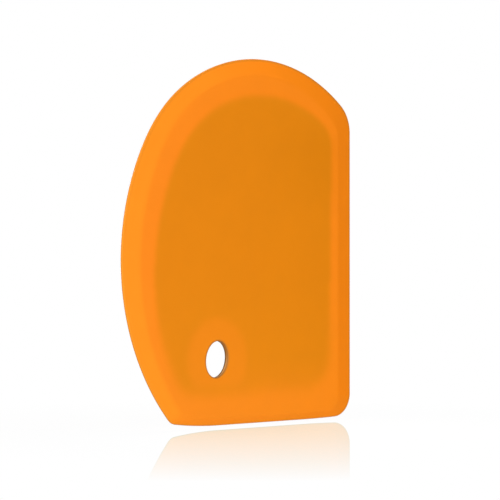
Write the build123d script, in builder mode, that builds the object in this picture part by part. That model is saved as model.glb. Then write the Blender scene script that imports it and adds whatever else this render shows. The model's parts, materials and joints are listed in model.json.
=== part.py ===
from build123d import *
import os

# Bowl scraper: a stiff core plate moulded into a D-shaped body of soft silicone.
# It stands on its short straight edge, front face to -Y, long straight edge on +X.
# All lengths are in millimetres.

# Outline of the silicone body
BLADE_WIDTH = 120.0
BLADE_HEIGHT = 140.0
BLADE_THICKNESS = 2.2
LIP_THICKNESS = 1.0
LIP_ROUND = 0.35
SHOULDER_RADIUS = 14.0
TOE_RADIUS = 9.0
HEEL_RADIUS = 5.0

# Short straight edge: flat in the middle, easing up to the heel and the toe
TOE_LIFT = 0.6
FLAT_START_SHARE = 0.60
FLAT_END_SHARE = 0.23

# Curved edge, from the long edge over the crown and the belly down to the heel:
# shares of the width in from the long edge, and of the height
CURVE_SHARES = [
    (0.000, 0.853),
    (0.192, 0.962),
    (0.417, 1.000),
    (0.618, 0.970),
    (0.816, 0.865),
    (0.941, 0.698),
    (1.000, 0.449),
    (0.946, 0.211),
    (0.796, 0.0114),
]
CURVE_START_SHARES = (-1.0, 0.855)
CURVE_END_SHARES = (1.0, -0.901)

# Taper from the flat of the body down to the lip, along each side
TAPER_LONG_EDGE = 7.5
TAPER_BELLY = 8.5
TAPER_CROWN = 6.2
TAPER_BASE = 2.6
TAPER_SHOULDER_RADIUS = 11.0
TAPER_TOE_RADIUS = 6.0
TAPER_HEEL_RADIUS = 4.0

# Stiff core, the silicone margin left round it, how far its long edge draws in towards the toe,
# and its own curved edge
CORE_THICKNESS = 1.0
CORE_MARGIN_LONG_EDGE = 11.5
CORE_MARGIN_BELLY = 15.8
CORE_MARGIN_CROWN = 14.6
CORE_MARGIN_BASE = 11.8
CORE_SHOULDER_RADIUS = 11.0
CORE_TOE_RADIUS = 13.0
CORE_HEEL_RADIUS = 6.0
CORE_TOE_INSET = 1.8
CORE_CURVE_SHARES = [
    (0.000, 0.877),
    (0.150, 0.959),
    (0.402, 1.000),
    (0.591, 0.975),
    (0.798, 0.871),
    (0.931, 0.689),
    (1.000, 0.400),
    (0.959, 0.184),
    (0.842, 0.0114),
]

# Hanging hole, an oval whose top leans to the long edge by some degrees, and the
# clearance cut for it in the core
HOLE_WIDTH = 11.1
HOLE_HEIGHT = 13.9
HOLE_LEAN = 13.5
HOLE_FROM_BELLY = 47.0
HOLE_ABOVE_BASE = 25.1
HOLE_ROUND = 0.4
CUTOUT_SIDE_STRIP = 5.3
CUTOUT_BASE_STRIP = 3.0
CUTOUT_CORNER_RADIUS = 1.5

HOLE_X = HOLE_FROM_BELLY - BLADE_WIDTH / 2


def front_offset(distance):
    """The upright plane that lies this far in front of the middle of the blade."""
    return Plane.XZ.offset(distance)


def outline(plane, shares, long_edge, belly, crown, base, toe_inset, shoulder_radius, toe_radius, heel_radius):
    """A D-shaped outline on a plane, drawn in from each side of the blade, and more at the toe."""
    right = BLADE_WIDTH / 2 - long_edge
    width = BLADE_WIDTH - long_edge - belly
    height = BLADE_HEIGHT - crown - base
    points = [(right - x_share * width, base + z_share * height) for x_share, z_share in shares]
    tangents = [
        (x_share * width, z_share * height) for x_share, z_share in (CURVE_START_SHARES, CURVE_END_SHARES)
    ]
    shoulder = points[0]
    heel = points[-1]
    toe = (right - toe_inset, base + TOE_LIFT)
    flat_start = (right - FLAT_START_SHARE * width, base)
    flat_end = (right - FLAT_END_SHARE * width, base)
    with BuildSketch(plane) as sketch:
        with BuildLine():
            Spline(*points, tangents=tangents, tangent_scalars=(1, 1))
            TangentArc(flat_start, heel, tangent=(-1, 0))
            Line(flat_start, flat_end)
            TangentArc(flat_end, toe, tangent=(1, 0))
            Line(toe, shoulder)
        make_face()
        for corner, radius in ((shoulder, shoulder_radius), (toe, toe_radius), (heel, heel_radius)):
            fillet(sketch.vertices().sort_by_distance(corner)[0], radius=radius)
    return sketch.sketch


def rim_outline(plane):
    """The outer edge of the lip."""
    return outline(plane, CURVE_SHARES, 0, 0, 0, 0, 0, SHOULDER_RADIUS, TOE_RADIUS, HEEL_RADIUS)


def flat_outline(plane):
    """The edge of the flat, where the taper to the lip begins."""
    return outline(
        plane,
        CURVE_SHARES,
        TAPER_LONG_EDGE,
        TAPER_BELLY,
        TAPER_CROWN,
        TAPER_BASE,
        0,
        TAPER_SHOULDER_RADIUS,
        TAPER_TOE_RADIUS,
        TAPER_HEEL_RADIUS,
    )


def core_outline(plane):
    """The edge of the stiff core."""
    return outline(
        plane,
        CORE_CURVE_SHARES,
        CORE_MARGIN_LONG_EDGE,
        CORE_MARGIN_BELLY,
        CORE_MARGIN_CROWN,
        CORE_MARGIN_BASE,
        CORE_TOE_INSET,
        CORE_SHOULDER_RADIUS,
        CORE_TOE_RADIUS,
        CORE_HEEL_RADIUS,
    )


# The cutout round the hole leaves a strip of the core between it and the core's curved edge
core_curve = core_outline(Plane.XZ).edges().filter_by(GeomType.BSPLINE)[0]
cutout_radius = core_curve.distance_to(Vector(HOLE_X, 0, HOLE_ABOVE_BASE)) - CUTOUT_SIDE_STRIP

# Stiff core plate, cut clear of the hanging hole with another strip left along its base
with BuildPart() as stiffener_core:
    extrude(core_outline(front_offset(-CORE_THICKNESS / 2)), amount=CORE_THICKNESS)
    with BuildSketch(front_offset(-CORE_THICKNESS / 2)) as cutout:
        with Locations((HOLE_X, HOLE_ABOVE_BASE)):
            Circle(cutout_radius)
        with Locations((HOLE_X, CORE_MARGIN_BASE + CUTOUT_BASE_STRIP)):
            Rectangle(
                2 * cutout_radius,
                2 * cutout_radius,
                align=(Align.CENTER, Align.MIN),
                mode=Mode.INTERSECT,
            )
        fillet(cutout.vertices(), radius=CUTOUT_CORNER_RADIUS)
    extrude(amount=CORE_THICKNESS, mode=Mode.SUBTRACT)
stiffener_core.part.label = "stiffener_core"

# Silicone body, tapered on both faces to a thin lip and moulded round the core
with BuildPart() as silicone_body:
    loft(
        sections=[
            flat_outline(front_offset(-BLADE_THICKNESS / 2)),
            rim_outline(front_offset(-LIP_THICKNESS / 2)),
            rim_outline(front_offset(LIP_THICKNESS / 2)),
            flat_outline(front_offset(BLADE_THICKNESS / 2)),
        ],
        ruled=True,
    )
    # From one face to the other: flat, taper, lip, rim, lip, taper, flat
    edge_groups = silicone_body.edges().group_by(Axis.Y)
    fillet(edge_groups[2] + edge_groups[-3], radius=LIP_ROUND)
    with BuildSketch(front_offset(-BLADE_THICKNESS / 2)):
        with Locations((HOLE_X, HOLE_ABOVE_BASE)):
            Ellipse(HOLE_WIDTH / 2, HOLE_HEIGHT / 2, rotation=-HOLE_LEAN)
    extrude(amount=BLADE_THICKNESS, mode=Mode.SUBTRACT)
    fillet(silicone_body.edges().filter_by(GeomType.ELLIPSE), radius=HOLE_ROUND)
    add(stiffener_core.part, mode=Mode.SUBTRACT)
silicone_body.part.label = "silicone_body"

os.makedirs("parts", exist_ok=True)
export_step(stiffener_core.part, "parts/stiffener_core.step")
export_step(silicone_body.part, "parts/silicone_body.step")
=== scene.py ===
import json
import math

import bpy
import numpy as np
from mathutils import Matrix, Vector
from mathutils.bvhtree import BVHTree
from mathutils.geometry import convex_hull_2d


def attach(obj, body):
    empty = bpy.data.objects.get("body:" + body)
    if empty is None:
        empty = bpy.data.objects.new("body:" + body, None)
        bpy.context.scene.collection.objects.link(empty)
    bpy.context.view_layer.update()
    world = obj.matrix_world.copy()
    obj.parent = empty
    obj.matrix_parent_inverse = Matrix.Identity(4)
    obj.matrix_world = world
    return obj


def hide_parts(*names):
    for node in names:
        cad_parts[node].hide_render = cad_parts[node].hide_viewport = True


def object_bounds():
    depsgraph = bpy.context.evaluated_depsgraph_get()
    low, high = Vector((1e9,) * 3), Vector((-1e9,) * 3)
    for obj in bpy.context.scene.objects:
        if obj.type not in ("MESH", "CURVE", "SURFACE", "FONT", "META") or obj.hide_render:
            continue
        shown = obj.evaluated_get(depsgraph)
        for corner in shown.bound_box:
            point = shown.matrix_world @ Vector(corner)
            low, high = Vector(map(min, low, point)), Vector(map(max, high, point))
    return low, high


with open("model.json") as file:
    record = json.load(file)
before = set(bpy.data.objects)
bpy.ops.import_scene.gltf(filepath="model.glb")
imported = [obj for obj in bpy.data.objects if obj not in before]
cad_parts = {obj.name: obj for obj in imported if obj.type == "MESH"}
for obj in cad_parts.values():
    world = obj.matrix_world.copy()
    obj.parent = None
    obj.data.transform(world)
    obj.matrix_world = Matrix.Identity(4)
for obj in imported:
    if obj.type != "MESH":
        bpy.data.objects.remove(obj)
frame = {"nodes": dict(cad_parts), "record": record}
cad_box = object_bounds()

# Bowl scraper of soft silicone, moulded over a stiff core plate.
# Lengths are in millimetres and become metres where the meshes are made.
MM = 0.001

# The silicone body's section, from the face out to the lip
HALF_THICKNESS = 1.1
HALF_LIP = 0.5
LIP_ROUND = 0.35
HOLE_ROUND = 0.4
SOFT_CREASE = 0.75
SOFT_CREASE_LEAN = 0.25
PARTING_LINE_INSET = 0.03
PARTING_LINE_HALF = 0.06

# How the outlines are read from the frame and divided
LEAST_EDGE = 0.2
FACE_TOLERANCE = 0.02
NEAR_HOLE = 9.0
STRAIGHT_EDGE = 9.0
CURVE_STEP = 0.3
CORNER_WEIGHT = 12.0
RAYS = 480

# Rings of the face: round the hole, across, before the core's edge, after it
HOLE_ZONE = 13.0
HOLE_ZONE_SHARE = 0.6
EDGE_ZONE = 4.0
EDGE_ZONE_SHARE = 0.2
HOLE_ZONE_RINGS = 22
MIDDLE_RINGS = 24
EDGE_ZONE_RINGS = 8
MARGIN_RINGS = 12
MARGIN_POWER = 1.3
CREASE_RINGS = 6
TAPER_RINGS = 6
ROUNDING_STEPS = 5

# How far the core's tone spreads through the silicone over it
GRID_STEP = 0.5
GRID_MARGIN = 8.0
EDGE_SPREAD = 1.0
BASE_SPREAD = 2.1
SPREAD_CHANGE = (22.0, 55.0)
EDGE_REACH = 0.6
CUTOUT_SPREAD = 1.4
CUTOUT_STRENGTH = 0.42
# Painted light from the floor, which lightens the core's tone near its base
BASE_GLOW = 0.4
BASE_GLOW_HEIGHT = 14.0
BASE_GLOW_POWER = 1.5
BASE_GLOW_SIDES = (-30.0, 15.0)

# Widths of the tones along the taper, the rim and the hole's edges, most of them painted light and
# shade
TAPER_TONE_WIDTH = 3.0
LONG_SIDE_START = 0.4
BASE_TONE_HEIGHT = 26.0
BASE_TONE_SIDES = (28.0, 48.0)
BASE_TONE_SHARES = (1.0, 0.2)
LOWER_TONE_HEIGHT = 60.0
FAR_TOP_ACROSS = (5.0, 40.0)
FAR_TOP_UP = (78.0, 94.0, 106.0, 120.0)
FAR_TOP_SHARES = (0.0, 1.0, 1.0, 0.0)
RIM_TONE_WIDTH = 0.8
RIM_TOP_POWER = 1.5
HOLE_TONE_WIDTH = 0.65
HOLE_TONE_WIDER_LEFT = 0.35
HOLE_BACK_DEPTHS = (0.1, 0.5)
HOLE_GLINT_DEPTH = -0.15
HOLE_GLINT_WIDTH = 0.45
HOLE_GLINT_BEARING = -50.0
HOLE_GLINT_POWER = 2


def outline_of(points):
    """The outer edge of some x, z points, in order round it, without doubled points."""
    loop = points[convex_hull_2d([tuple(p) for p in points])]
    kept = [loop[0]]
    for point in loop[1:]:
        if np.hypot(*(point - kept[-1])) > LEAST_EDGE:
            kept.append(point)
    if np.hypot(*(kept[0] - kept[-1])) < LEAST_EDGE:
        kept.pop()
    kept = np.array(kept)
    x, z = kept.T
    area = np.sum(x * np.roll(z, -1) - z * np.roll(x, -1))
    return kept if area > 0 else kept[::-1]


def smooth_curve(loop):
    """A closed curve through the loop's points, straight along its long edges."""
    edge = np.roll(loop, -1, 0) - loop
    length = np.hypot(*edge.T)[:, None]
    way = edge / length
    way_before = np.roll(way, 1, 0)
    tangent = way_before * length + way * np.roll(length, 1, 0)
    tangent /= np.hypot(*tangent.T)[:, None]
    straight = length > STRAIGHT_EDGE
    tangent = np.where(straight, way, tangent)
    tangent = np.where(np.roll(straight, 1, 0), way_before, tangent)
    points = []
    for i, start in enumerate(loop):
        j = (i + 1) % len(loop)
        steps = max(2, math.ceil(length[i, 0] / CURVE_STEP))
        t = (np.arange(steps) / steps)[:, None]
        points.append(
            (2 * t**3 - 3 * t**2 + 1) * start
            + (t**3 - 2 * t**2 + t) * length[i] * tangent[i]
            + (3 * t**2 - 2 * t**3) * loop[j]
            + (t**3 - t**2) * length[i] * tangent[j]
        )
    return np.vstack(points)


def divided(curve, count):
    """Points along a closed curve, closer together where it turns more."""
    step = np.roll(curve, -1, 0) - curve
    heading = np.arctan2(step[:, 1], step[:, 0])
    turn = np.abs((np.roll(heading, -1) - heading + math.pi) % (2 * math.pi) - math.pi)
    measure = np.hypot(*step.T) + CORNER_WEIGHT * turn
    travelled = np.concatenate([[0.0], np.cumsum(measure)])
    closed = np.vstack([curve, curve[:1]])
    wanted = np.arange(count) / count * travelled[-1]
    return np.column_stack([np.interp(wanted, travelled, closed[:, k]) for k in (0, 1)])


def outward(points):
    """Unit vectors that point out of a loop that runs anticlockwise."""
    along = np.roll(points, -1, 0) - np.roll(points, 1, 0)
    normal = np.column_stack([along[:, 1], -along[:, 0]])
    return normal / np.hypot(*normal.T)[:, None]


def shares(count, power=1.0):
    """Shares from above 0 up to 1, closer together near 0 with a higher power."""
    return (np.arange(1, count + 1) / count) ** power


def node_points(name):
    """A CAD node's vertices in millimetres."""
    return np.array([v.co for v in frame["nodes"][name].data.vertices]) / MM


silicone_points = node_points("silicone_body")
core_points = node_points("stiffener_core")
on_face = np.abs(silicone_points[:, 1] + HALF_THICKNESS) < FACE_TOLERANCE
rim_curve = smooth_curve(outline_of(silicone_points[:, [0, 2]]))
flat_curve = smooth_curve(outline_of(silicone_points[on_face][:, [0, 2]]))
core_curve = smooth_curve(outline_of(core_points[:, [0, 2]]))

mounts = {m["name"]: m for m in frame["record"]["mounts"]}
hole_place = mounts["hanging_hole"]["pos_m"]
hole_centre = np.array([hole_place[0], hole_place[2]]) / MM

# Each ray runs from the hole's centre to a point just inside the rim
rim = divided(rim_curve, RAYS)
rim_normal = outward(rim)
lip_start = rim - LIP_ROUND * rim_normal
reach = lip_start - hole_centre
angle = np.arctan2(reach[:, 1], reach[:, 0])
ray = np.column_stack([np.cos(angle), np.sin(angle)])


def radius_of(curve):
    """How far out along each ray a curve lies."""
    away = curve - hole_centre
    bearing = np.arctan2(away[:, 1], away[:, 0])
    order = np.argsort(bearing)
    return np.interp(angle, bearing[order], np.hypot(*away.T)[order], period=2 * math.pi)


near_hole = silicone_points[np.hypot(*(silicone_points[:, [0, 2]] - hole_centre).T) < NEAR_HOLE]
wall = near_hole[np.abs(near_hole[:, 1]) < HALF_THICKNESS - HOLE_ROUND + FACE_TOLERANCE]
hole_radius = radius_of(smooth_curve(outline_of(wall[:, [0, 2]])))
core_radius = radius_of(core_curve)
flat_radius = radius_of(flat_curve)
lip_radius = np.hypot(*reach.T)
face_start = hole_radius + HOLE_ROUND

# One half of the section, as rings of points and of depths from the middle plane
rings = []


def add_ring(points, depth):
    """Adds a ring at a depth from the middle plane."""
    rings.append((points, np.broadcast_to(depth, len(points)).astype(float)))


def along_rays(radius):
    """The points this far out along the rays."""
    return hole_centre + ray * radius[:, None]


def add_zone(start, end, steps, depth_of):
    """Adds rings from one radius to another. Steps are shares of the way."""
    for share in steps:
        radius = start + (end - start) * share
        add_ring(along_rays(radius), depth_of(radius))


def at_face(radius):
    """The depth of the flat face."""
    return HALF_THICKNESS


straight_wall = HALF_THICKNESS - HOLE_ROUND
add_ring(along_rays(hole_radius), 0.0)
add_ring(along_rays(hole_radius), straight_wall / 2)
for turn in np.linspace(0, math.pi / 2, ROUNDING_STEPS + 1):
    add_ring(
        along_rays(hole_radius + HOLE_ROUND * (1 - math.cos(turn))),
        straight_wall + HOLE_ROUND * math.sin(turn),
    )

core_width = core_radius - face_start
hole_zone_end = face_start + np.minimum(HOLE_ZONE, HOLE_ZONE_SHARE * core_width)
edge_zone_start = core_radius - np.minimum(EDGE_ZONE, EDGE_ZONE_SHARE * core_width)
taper_width = lip_radius - flat_radius
crease = SOFT_CREASE - SOFT_CREASE_LEAN * rim_normal[:, 0]
add_zone(face_start, hole_zone_end, shares(HOLE_ZONE_RINGS), at_face)
add_zone(hole_zone_end, edge_zone_start, shares(MIDDLE_RINGS), at_face)
add_zone(edge_zone_start, core_radius, shares(EDGE_ZONE_RINGS), at_face)
add_zone(core_radius, flat_radius - crease, shares(MARGIN_RINGS, MARGIN_POWER), at_face)

# The taper, its crease with the face softened by a parabola, down to the lip
lip_slope = (HALF_THICKNESS - HALF_LIP) / (taper_width + LIP_ROUND)


def on_taper(radius):
    """The depth of the taper, rounded over the crease."""
    past = radius - flat_radius
    rounded = lip_slope * np.clip(past + crease, 0, None) ** 2 / (4 * crease)
    return HALF_THICKNESS - np.where(past < crease, rounded, lip_slope * past)


add_zone(flat_radius - crease, flat_radius + crease, shares(CREASE_RINGS), on_taper)
lip_tilt = np.arctan(lip_slope)
lip_middle = HALF_LIP + lip_slope * LIP_ROUND - LIP_ROUND / np.cos(lip_tilt)
add_zone(flat_radius + crease, lip_radius, shares(TAPER_RINGS)[:-1], on_taper)
for share in np.linspace(0, 1, ROUNDING_STEPS + 1):
    turn = lip_tilt + (math.pi / 2 - lip_tilt) * share
    inset = LIP_ROUND * (1 - np.sin(turn)) + PARTING_LINE_INSET
    add_ring(rim - rim_normal * inset[:, None], lip_middle + LIP_ROUND * np.cos(turn))
add_ring(rim - rim_normal * PARTING_LINE_INSET, PARTING_LINE_HALF)
add_ring(rim, 0.0)

# Both halves as one closed run of rings, round through the hole and over the rim
half = [np.column_stack([p[:, 0], -depth, p[:, 1]]) for p, depth in rings]
other_half = [ring * (1, -1, 1) for ring in half[-2:0:-1]]
section = half + other_half
body_points = np.vstack(section)
body_faces = []
for k in range(len(section)):
    this_ring = k * RAYS
    next_ring = (k + 1) % len(section) * RAYS
    for i in range(RAYS):
        j = (i + 1) % RAYS
        body_faces.append((this_ring + i, next_ring + i, next_ring + j, this_ring + j))

# How much core lies behind each place, spread out as light spreads in silicone
core_mesh = frame["nodes"]["stiffener_core"].data
core_tree = BVHTree.FromPolygons(
    [v.co for v in core_mesh.vertices],
    [tuple(p.vertices) for p in core_mesh.polygons],
)
grid_low = rim.min(0) - GRID_MARGIN
grid_size = np.ceil((rim.max(0) + GRID_MARGIN - grid_low) / GRID_STEP).astype(int)
cover = np.zeros(grid_size)
ahead = Vector((0, 1, 0))
ray_start = -1.0
for a in range(grid_size[0]):
    for b in range(grid_size[1]):
        x, z = grid_low + np.array([a, b]) * GRID_STEP
        start = Vector((x * MM, ray_start, z * MM))
        cover[a, b] = core_tree.ray_cast(start, ahead)[0] is not None
grid_points = np.stack(np.indices(grid_size), -1) * GRID_STEP + grid_low - hole_centre
grid_bearing = np.arctan2(grid_points[..., 1], grid_points[..., 0])
by_angle = np.argsort(angle)
core_reach = np.interp(grid_bearing, angle[by_angle], core_radius[by_angle], period=2 * math.pi)
grid_reach = np.hypot(grid_points[..., 0], grid_points[..., 1])
inside_outline = grid_reach < core_reach + EDGE_REACH
cutout = np.where(grid_reach < core_reach, 1 - cover, 0)


def spread_out(values, spread):
    """Blurs a grid by a spread, along one axis and then the other."""
    half_width = math.ceil(3 * spread / GRID_STEP)
    offsets = np.arange(-half_width, half_width + 1) * GRID_STEP
    weights = np.exp(-0.5 * (offsets / spread) ** 2)
    weights /= weights.sum()
    for axis in (0, 1):
        values = np.apply_along_axis(lambda row: np.convolve(row, weights, mode="same"), axis, values)
    return values


def grid_value(values, points):
    """The grid's value at x, z points, between its nodes."""
    place = (points - grid_low) / GRID_STEP
    corner = np.clip(np.floor(place).astype(int), 0, grid_size - 2)
    u, w = (place - corner).T
    a, b = corner.T
    near = values[a, b] * (1 - w) + values[a, b + 1] * w
    far = values[a + 1, b] * (1 - w) + values[a + 1, b + 1] * w
    return near * (1 - u) + far * u


flat_points = body_points[:, [0, 2]]
inside_outline = inside_outline.astype(float)
sharp_shade = grid_value(spread_out(inside_outline, EDGE_SPREAD), flat_points)
soft_shade = grid_value(spread_out(inside_outline, BASE_SPREAD), flat_points)
sharpness = np.interp(flat_points[:, 1], SPREAD_CHANGE, (0.0, 1.0))
outline_shade = soft_shade + (sharp_shade - soft_shade) * sharpness
cutout_shade = grid_value(spread_out(cutout, CUTOUT_SPREAD), flat_points)
above_core_base = body_points[:, 2] - core_points[:, 2].min()
# Painted light from the floor lightens the core's tone near its base
painted_base_light = BASE_GLOW * np.clip(1 - above_core_base / BASE_GLOW_HEIGHT, 0, 1) ** BASE_GLOW_POWER
painted_base_light *= np.interp(flat_points[:, 0], BASE_GLOW_SIDES, (0.0, 1.0))
core_tone_and_painted_base_light = (outline_shade - CUTOUT_STRENGTH * cutout_shade) * (1 - painted_base_light)
from_centre = np.hypot(*(flat_points - hole_centre).T)

# Share of the way out over the taper, and how near a place is to the rim or the hole's edges; most
# tones made from them are painted light and shade
from_flat = from_centre - np.tile(flat_radius, len(section))
taper_share = np.clip(0.5 + from_flat / TAPER_TONE_WIDTH, 0, 1)
belly_side = np.tile(np.clip(-rim_normal[:, 0], 0, 1), len(section))
long_side = np.clip(LONG_SIDE_START + rim_normal[:, 0], 0, 1) * np.clip(1 + rim_normal[:, 1], 0, 1)
long_side = np.tile(long_side, len(section))
# The taper lighter on the left: partly its thinner silicone, partly painted light from the left side
thin_taper_and_painted_light = belly_side * taper_share
shaded_side = long_side * taper_share
across, up = flat_points.T
# Painted shade, darker towards the base
painted_shade_near_base = np.clip(1 - up / BASE_TONE_HEIGHT, 0, 1)
painted_shade_near_base *= np.interp(across, BASE_TONE_SIDES, BASE_TONE_SHARES)
lower = np.clip(1 - up / LOWER_TONE_HEIGHT, 0, 1)
# Painted sheen, fading from the left side to the right, where the silicone's blue drops
painted_sheen_across = np.interp(across, (rim[:, 0].min(), rim[:, 0].max()), (0.0, 1.0))
# Painted shade over the upper right of the core
painted_shade_far_top = np.interp(across, FAR_TOP_ACROSS, (0.0, 1.0)) * np.interp(up, FAR_TOP_UP, FAR_TOP_SHARES)
from_rim = np.tile(lip_radius + LIP_ROUND, len(section)) - from_centre
# Painted shade along the rounded rim, darker still where the rim faces up
painted_rim_shade = np.clip(1 - from_rim / RIM_TONE_WIDTH, 0, 1)
painted_shade_rim_top = painted_rim_shade * np.tile(np.clip(rim_normal[:, 1], 0, 1) ** RIM_TOP_POWER, len(section))
from_wall = from_centre - np.tile(hole_radius, len(section))
# Painted shade round the hole's edges, wider on the left
hole_tone_width = HOLE_TONE_WIDTH + HOLE_TONE_WIDER_LEFT * np.clip(-ray[:, 0], 0, 1)
painted_hole_shade = np.clip(1 - from_wall / np.tile(hole_tone_width, len(section)), 0, 1)

# Painted shade darkens the hole's wall at its back edge, and a painted highlight lights it low on the
# right
painted_hole_back_shade = painted_hole_shade * np.interp(body_points[:, 1], HOLE_BACK_DEPTHS, (0.0, 1.0))
from_glint = np.abs(body_points[:, 1] - HOLE_GLINT_DEPTH)
glint_side = np.clip(np.cos(angle - math.radians(HOLE_GLINT_BEARING)), 0, 1) ** HOLE_GLINT_POWER
painted_hole_glint = np.clip(1 - from_glint / HOLE_GLINT_WIDTH, 0, 1) * np.tile(glint_side, len(section))
painted_hole_glint *= painted_hole_shade


def new_mesh(name, points, faces):
    """A mesh object from points in millimetres."""
    mesh = bpy.data.meshes.new(name)
    mesh.from_pydata((points * MM).tolist(), [], faces)
    mesh.update()
    obj = bpy.data.objects.new(name, mesh)
    bpy.context.scene.collection.objects.link(obj)
    return obj


def set_attribute(obj, name, values):
    """Stores one number for each vertex."""
    attribute = obj.data.attributes.new(name, "FLOAT", "POINT")
    attribute.data.foreach_set("value", np.asarray(values, np.float32))


# The pocket that the core fills is the core's own shape turned inside out
first = len(body_points)
pocket_faces = [tuple(first + v for v in reversed(p.vertices)) for p in core_mesh.polygons]
blade = new_mesh("silicone_blade", np.vstack([body_points, core_points]), body_faces + pocket_faces)

# The tones, painted light and shade among them, are stored on the mesh. The pocket's faces have the
# core's tone alone
tones = {
    "core_tone_and_painted_base_light": core_tone_and_painted_base_light,
    "thin_taper_and_painted_light": thin_taper_and_painted_light,
    "painted_sheen_across": painted_sheen_across,
    "painted_shade_far_top": painted_shade_far_top,
    "lower": lower,
    "painted_shade_near_base": painted_shade_near_base,
    "shaded_side": shaded_side,
    "painted_rim_shade": painted_rim_shade,
    "painted_shade_rim_top": painted_shade_rim_top,
    "painted_hole_shade": painted_hole_shade,
    "painted_hole_back_shade": painted_hole_back_shade,
    "painted_hole_glint": painted_hole_glint,
}
for name, values in tones.items():
    in_pocket = np.full(len(core_points), 1.0 if name == "core_tone_and_painted_base_light" else 0.0)
    set_attribute(blade, name, np.concatenate([values, in_pocket]))
blade.data.polygons.foreach_set("use_smooth", [True] * len(body_faces) + [False] * len(pocket_faces))


# Materials
class Nodes:
    """The nodes of a material or of the world, added and linked in short calls."""

    def __init__(self, owner):
        owner.use_nodes = True
        self.owner = owner
        self.tree = owner.node_tree
        self.tree.nodes.clear()

    def add(self, kind, settings=None, **inputs):
        """Adds a node. Inputs are values, or other nodes' outputs."""
        node = self.tree.nodes.new(kind)
        for key, value in (settings or {}).items():
            setattr(node, key, value)
        for key, value in inputs.items():
            self.put(node.inputs[key.replace("_", " ")], value)
        return node

    def put(self, socket, value):
        """Links a socket or sets it."""
        if isinstance(value, bpy.types.NodeSocket):
            self.tree.links.new(value, socket)
        else:
            socket.default_value = value

    def maths(self, operation, *values):
        """A sum on numbers or outputs."""
        node = self.tree.nodes.new("ShaderNodeMath")
        node.operation = operation
        for socket, value in zip(node.inputs, values):
            self.put(socket, value)
        return node.outputs[0]

    def mix(self, factor, first_colour, second_colour, blend="MIX"):
        """A blend of two colours, which a mix node has at sockets 6 and 7."""
        node = self.tree.nodes.new("ShaderNodeMix")
        node.data_type = "RGBA"
        node.blend_type = blend
        self.put(node.inputs[0], factor)
        self.put(node.inputs[6], first_colour)
        self.put(node.inputs[7], second_colour)
        return node.outputs[2]

    def attribute(self, name):
        """A number stored on the mesh."""
        node = self.tree.nodes.new("ShaderNodeAttribute")
        node.attribute_name = name
        return node.outputs["Fac"]

    def noise(self, scale, detail):
        """Noise in object coordinates, about 0.5."""
        coordinates = self.tree.nodes.new("ShaderNodeTexCoord")
        node = self.add("ShaderNodeTexNoise", Scale=scale, Detail=detail)
        self.put(node.inputs["Vector"], coordinates.outputs["Object"])
        return node.outputs["Fac"]

    def ranged(self, value, start, end, low, high):
        """A number carried over from one range to another, and kept inside it."""
        limits = {"From_Min": start, "From_Max": end, "To_Min": low, "To_Max": high}
        return self.add("ShaderNodeMapRange", Value=value, **limits).outputs[0]

    def seen_directly(self):
        """1 for what the camera, mirrors and glass see, and 0 for what lights the object."""
        rays = self.add("ShaderNodeLightPath").outputs
        shown = self.maths("MAXIMUM", rays["Is Camera Ray"], rays["Is Glossy Ray"])
        return self.maths("MAXIMUM", shown, rays["Is Transmission Ray"])


def new_material(name):
    """A material's nodes, empty."""
    return Nodes(bpy.data.materials.new(name))


# The silicone's colour clear of the core, and the tones that go over it in this order, most of them
# painted light and shade
MARGIN_COLOUR = (1.0, 0.262, 0.0145, 1.0)
TONE_COLOURS = (
    ("painted_shade_near_base", "MIX", (0.94, 0.258, 0.0145, 1.0)),
    ("core_tone_and_painted_base_light", "MIX", (0.805, 0.240, 0.0062, 1.0)),
    ("thin_taper_and_painted_light", "MIX", (1.0, 0.290, 0.0155, 1.0)),
    ("painted_sheen_across", "MULTIPLY", (1.0, 1.0, 0.6, 1.0)),
    ("lower", "MULTIPLY", (0.955, 1.0, 1.0, 1.0)),
    ("painted_shade_far_top", "MULTIPLY", (0.955, 0.955, 0.8, 1.0)),
    ("shaded_side", "MIX", (0.962, 0.248, 0.0048, 1.0)),
    ("painted_rim_shade", "MIX", (0.78, 0.265, 0.018, 1.0)),
    ("painted_shade_rim_top", "MIX", (0.55, 0.175, 0.012, 1.0)),
    ("painted_hole_shade", "MIX", (0.36, 0.14, 0.026, 1.0)),
    ("painted_hole_back_shade", "MIX", (0.12, 0.05, 0.009, 1.0)),
    ("painted_hole_glint", "MIX", (0.80, 0.44, 0.18, 1.0)),
)

# Unevenness of the silicone: each noise's scale and detail, and the ranges that it is carried over to
MOTTLING = (90.0, 3.0)
CLOUD = (28.0, 2.0)
GRAIN = (2600.0, 2.0)
NOISE_RANGE = (0.3, 0.7)
VALUE_RANGE = (0.975, 1.025)
ROUGHNESS_RANGE = (0.46, 0.56)
GRAIN_STRENGTH = 0.12
GRAIN_HEIGHT = 0.00005
SPECULAR_LEVEL = 0.1
SILICONE_IOR = 1.41

silicone = new_material("silicone")
mottling = silicone.noise(*MOTTLING)
cloud = silicone.noise(*CLOUD)
tone = MARGIN_COLOUR
for name, blend, colour in TONE_COLOURS:
    tone = silicone.mix(silicone.attribute(name), tone, colour, blend)
spots = silicone.maths("MULTIPLY", silicone.maths("ADD", mottling, cloud), 0.5)
value = silicone.ranged(spots, *NOISE_RANGE, *VALUE_RANGE)
tinted = silicone.add("ShaderNodeHueSaturation", Color=tone, Value=value).outputs[0]
bump = silicone.add(
    "ShaderNodeBump", Strength=GRAIN_STRENGTH, Distance=GRAIN_HEIGHT, Height=silicone.noise(*GRAIN)
).outputs[0]
rough = silicone.ranged(mottling, *NOISE_RANGE, *ROUGHNESS_RANGE)
silicone_surface = silicone.add(
    "ShaderNodeBsdfPrincipled", Base_Color=tinted, Roughness=rough, Normal=bump
)
silicone_surface.inputs["Specular IOR Level"].default_value = SPECULAR_LEVEL
silicone_surface.inputs["IOR"].default_value = SILICONE_IOR
silicone.add("ShaderNodeOutputMaterial", Surface=silicone_surface.outputs[0])
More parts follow.
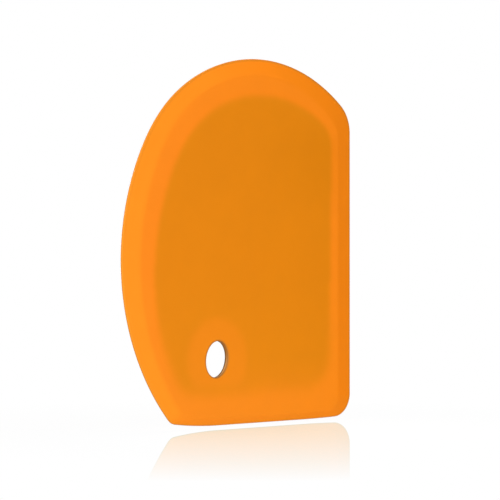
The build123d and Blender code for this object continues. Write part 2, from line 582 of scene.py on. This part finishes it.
blade.data.materials.append(silicone.owner)

# The core's own plastic, matt and a little uneven
CORE_PLASTIC_COLOURS = ((0.76, 0.20, 0.009, 1.0), (0.84, 0.235, 0.011, 1.0))
CORE_CLOUD = (120.0, 3.0)
CORE_GRAIN = (1800.0, 3.0)
CORE_GRAIN_STRENGTH = 0.2
CORE_GRAIN_HEIGHT = 0.0001
CORE_ROUGHNESS = 0.6

core_plastic = new_material("core_plastic")
core_tone = core_plastic.mix(core_plastic.noise(*CORE_CLOUD), *CORE_PLASTIC_COLOURS)
core_grain = core_plastic.noise(*CORE_GRAIN)
core_bump = core_plastic.add(
    "ShaderNodeBump", Strength=CORE_GRAIN_STRENGTH, Distance=CORE_GRAIN_HEIGHT, Height=core_grain
).outputs[0]
core_surface = core_plastic.add(
    "ShaderNodeBsdfPrincipled", Base_Color=core_tone, Roughness=CORE_ROUGHNESS, Normal=core_bump
)
core_plastic.add("ShaderNodeOutputMaterial", Surface=core_surface.outputs[0])
for name, nodes in (("stiffener_core", core_plastic), ("silicone_body", silicone)):
    node_materials = frame["nodes"][name].data.materials
    for index in range(len(node_materials)):
        node_materials[index] = nodes.owner

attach(blade, "root")
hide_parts("silicone_body")

# Floor, which shows the object's reflection near it and is white further out
FLOOR_DROP = 0.0009
FLOOR_REACH = 6.0
MIRROR_COLOUR = (0.40, 0.335, 0.46)
MIRROR_START = 0.008
MIRROR_END = 0.215
MIRROR_CURVE = 0.243
MIRROR_POWER = 0.92
SHADOW_SHARE = 0.03
SHADOW_START = 0.03
SHADOW_END = 0.16
WHITE = (1.0, 1.0, 1.0, 1.0)
BLACK = (0.0, 0.0, 0.0, 1.0)
FLOOR_GREY = (0.45, 0.45, 0.45, 1.0)

floor = new_mesh(
    "floor",
    np.array([(-1, -1, 0), (1, -1, 0), (1, 1, 0), (-1, 1, 0)]) * FLOOR_REACH / MM,
    [(0, 1, 2, 3)],
)
floor.location.z = -FLOOR_DROP
paper = new_material("floor")
place = paper.add("ShaderNodeNewGeometry").outputs["Position"]
level = paper.add("ShaderNodeVectorMath", {"operation": "MULTIPLY"})
paper.put(level.inputs[0], place)
level.inputs[1].default_value = (1, 1, 0)
distance = paper.add("ShaderNodeVectorMath", {"operation": "LENGTH"})
paper.put(distance.inputs[0], level.outputs[0])
faded = paper.ranged(distance.outputs["Value"], MIRROR_START, MIRROR_END, 0.0, 1.0)
curve = paper.maths("MULTIPLY_ADD", faded, MIRROR_CURVE, 1 - MIRROR_CURVE)
mirror_share = paper.maths("SUBTRACT", 1.0, paper.maths("MULTIPLY", faded, curve))
mirror_share = paper.maths("POWER", mirror_share, MIRROR_POWER)
mirror = paper.mix(mirror_share, BLACK, (*MIRROR_COLOUR, 1))
kept_white = paper.mix(mirror_share, WHITE, (*[1 - c for c in MIRROR_COLOUR], 1))
gloss = paper.add("ShaderNodeBsdfAnisotropic", Color=mirror, Roughness=0.0)
glow = paper.add("ShaderNodeEmission", Color=kept_white, Strength=1.0)
both = paper.add("ShaderNodeAddShader")
paper.put(both.inputs[0], gloss.outputs[0])
paper.put(both.inputs[1], glow.outputs[0])
matt = paper.add("ShaderNodeBsdfDiffuse", Color=WHITE)
shadow_share = paper.ranged(distance.outputs["Value"], SHADOW_START, SHADOW_END, SHADOW_SHARE, 0.0)
seen = paper.add("ShaderNodeMixShader", Fac=shadow_share)
paper.put(seen.inputs[1], both.outputs[0])
paper.put(seen.inputs[2], matt.outputs[0])
plain = paper.add("ShaderNodeBsdfDiffuse", Color=FLOOR_GREY)
surface = paper.add("ShaderNodeMixShader", Fac=paper.seen_directly())
paper.put(surface.inputs[1], plain.outputs[0])
paper.put(surface.inputs[2], seen.outputs[0])
paper.add("ShaderNodeOutputMaterial", Surface=surface.outputs[0])
floor.data.materials.append(paper.owner)

# World: white behind the object, and a softer even light on it
WORLD_LIGHT = 0.158
world = bpy.data.worlds.new("studio")
bpy.context.scene.world = world
studio = Nodes(world)
strength = studio.ranged(studio.seen_directly(), 0.0, 1.0, WORLD_LIGHT, 1.0)
background = studio.add("ShaderNodeBackground", Color=WHITE, Strength=strength)
studio.add("ShaderNodeOutputWorld", Surface=background.outputs[0])

# Key light on the left in front, and a like one behind for the back face
LIGHTS = {"key": ((-0.73, -0.62, 0.12), 76.0), "behind": ((0.35, 0.93, 0.05), 52.0)}
LIGHT_DISTANCE = 2.6
LIGHT_SIZE = 0.7
middle = (cad_box[0] + cad_box[1]) / 2
for name, (way, power) in LIGHTS.items():
    light_way = Vector(way).normalized()
    light_data = bpy.data.lights.new(name, "AREA")
    light_data.shape = "DISK"
    light_data.size = LIGHT_SIZE
    light_data.energy = power
    light = bpy.data.objects.new(name, light_data)
    bpy.context.scene.collection.objects.link(light)
    light.location = middle + light_way * LIGHT_DISTANCE
    light.rotation_mode = "QUATERNION"
    light.rotation_quaternion = (-light_way).to_track_quat("-Z", "Y")

# Overhead light, a soft pool on the floor in front of the object
POOL_HEIGHT = 0.6
POOL_AHEAD = 0.085
POOL_HALF_WIDTH = 0.135
POOL_POWER = 11.4
POOL_SOURCE_SIZE = 0.02
pool_data = bpy.data.lights.new("overhead", "SPOT")
pool_data.energy = POOL_POWER
pool_data.spot_size = 2 * math.atan(POOL_HALF_WIDTH / POOL_HEIGHT)
pool_data.spot_blend = 1.0
pool_data.shadow_soft_size = POOL_SOURCE_SIZE
pool = bpy.data.objects.new("overhead", pool_data)
bpy.context.scene.collection.objects.link(pool)
pool.location = (middle.x, middle.y, POOL_HEIGHT)
pool.rotation_mode = "QUATERNION"
pool_way = Vector((0.0, -POOL_AHEAD, -POOL_HEIGHT)).normalized()
pool.rotation_quaternion = pool_way.to_track_quat("-Z", "Y")

# Camera in the photograph's view, level, at about the height of the object's middle
CAMERA_AZIMUTH = -43.7
CAMERA_DISTANCE = 0.901
CAMERA_TARGET = (0.002652, -0.002536, 0.06649)
CAMERA_LENS = 169.54
CAMERA_SENSOR = 36.0
NEAREST_SEEN = 0.01
FURTHEST_SEEN = 50.0
turned = math.radians(CAMERA_AZIMUTH)
back = Vector((math.sin(turned), -math.cos(turned), 0.0))
camera_data = bpy.data.cameras.new("camera")
camera_data.lens = CAMERA_LENS
camera_data.sensor_width = CAMERA_SENSOR
camera_data.clip_start = NEAREST_SEEN
camera_data.clip_end = FURTHEST_SEEN
camera = bpy.data.objects.new("camera", camera_data)
bpy.context.scene.collection.objects.link(camera)
camera.location = Vector(CAMERA_TARGET) + back * CAMERA_DISTANCE
camera.rotation_mode = "QUATERNION"
camera.rotation_quaternion = (-back).to_track_quat("-Z", "Y")
bpy.context.scene.camera = camera
bpy.context.scene.view_settings.view_transform = "Standard"
